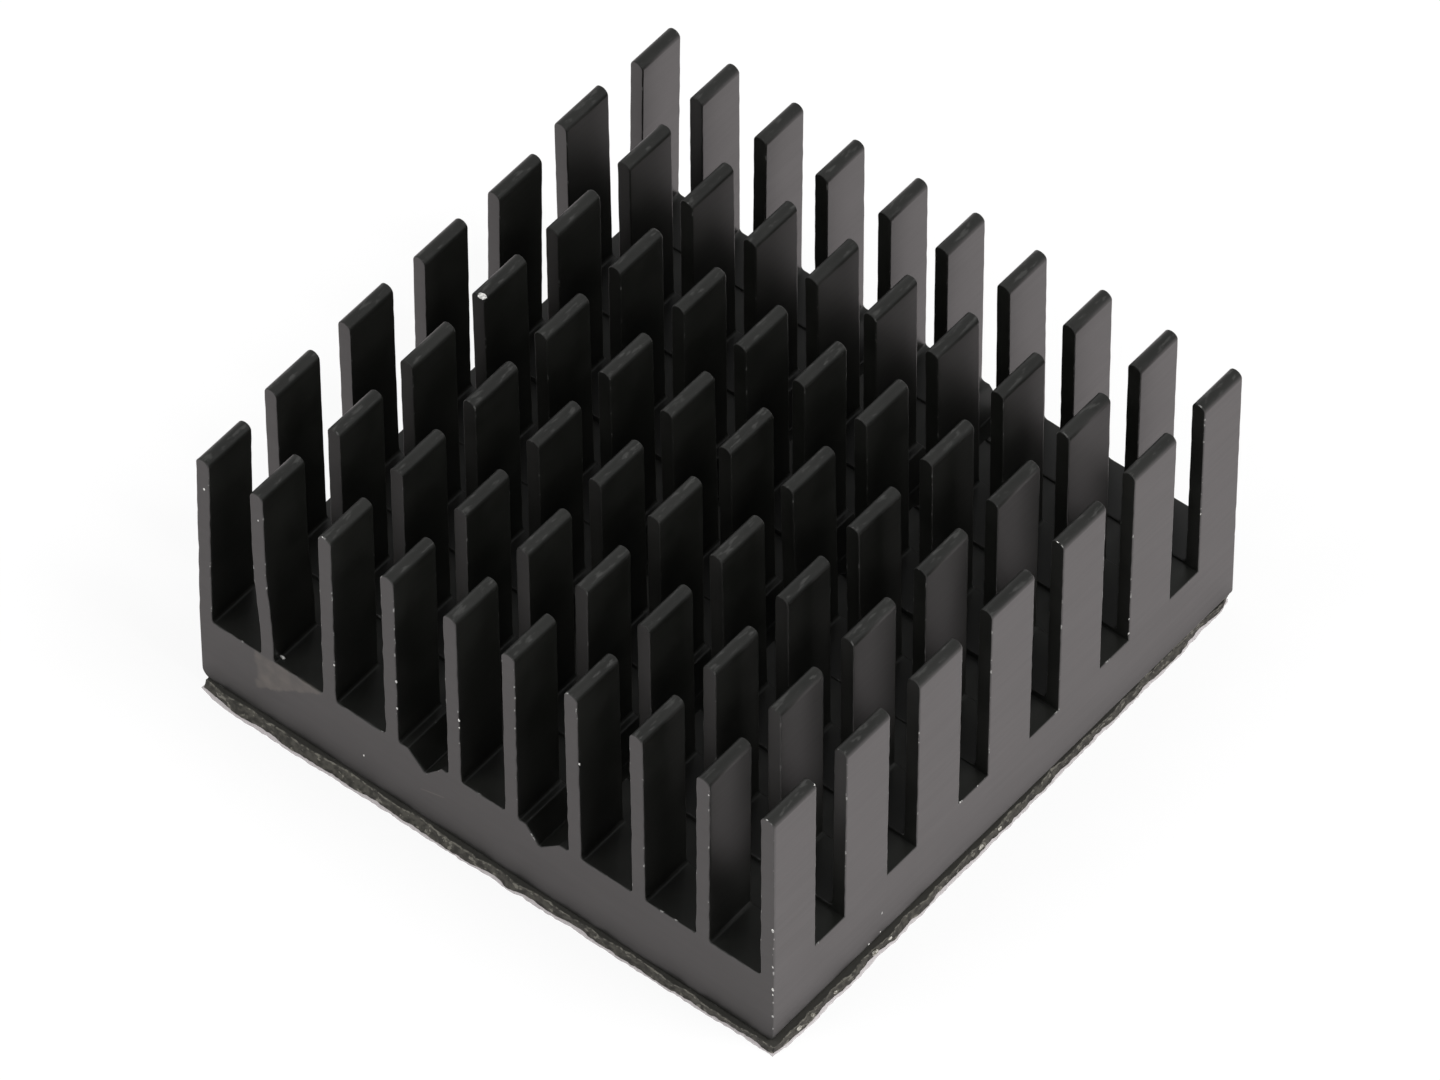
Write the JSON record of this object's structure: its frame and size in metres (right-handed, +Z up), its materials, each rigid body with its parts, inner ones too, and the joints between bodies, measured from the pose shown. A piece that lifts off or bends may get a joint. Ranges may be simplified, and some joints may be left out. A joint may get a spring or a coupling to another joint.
{
  "type": "pin fin heat sink",
  "caption": "Black anodised aluminium heat sink with a thick base, cross-cut flat pins with round tips, and an adhesive thermal pad under a clear release liner.",
  "frame": {"origin": "middle of the underside of the release liner, the face that the part lies on", "axes": "+Z up along the pins, +X across the fins, +Y along the extrusion"},
  "size_m": [0.0468, 0.0466, 0.0217],
  "materials": {
    "black_anodised": "satin black anodised",
    "pad": "matt, soft",
    "liner": "clear glossy film"
  },
  "bodies": {
    "root": {"heat_sink": "black_anodised", "thermal_pad": "pad", "release_liner": "liner"}
  },
  "joints": []
}
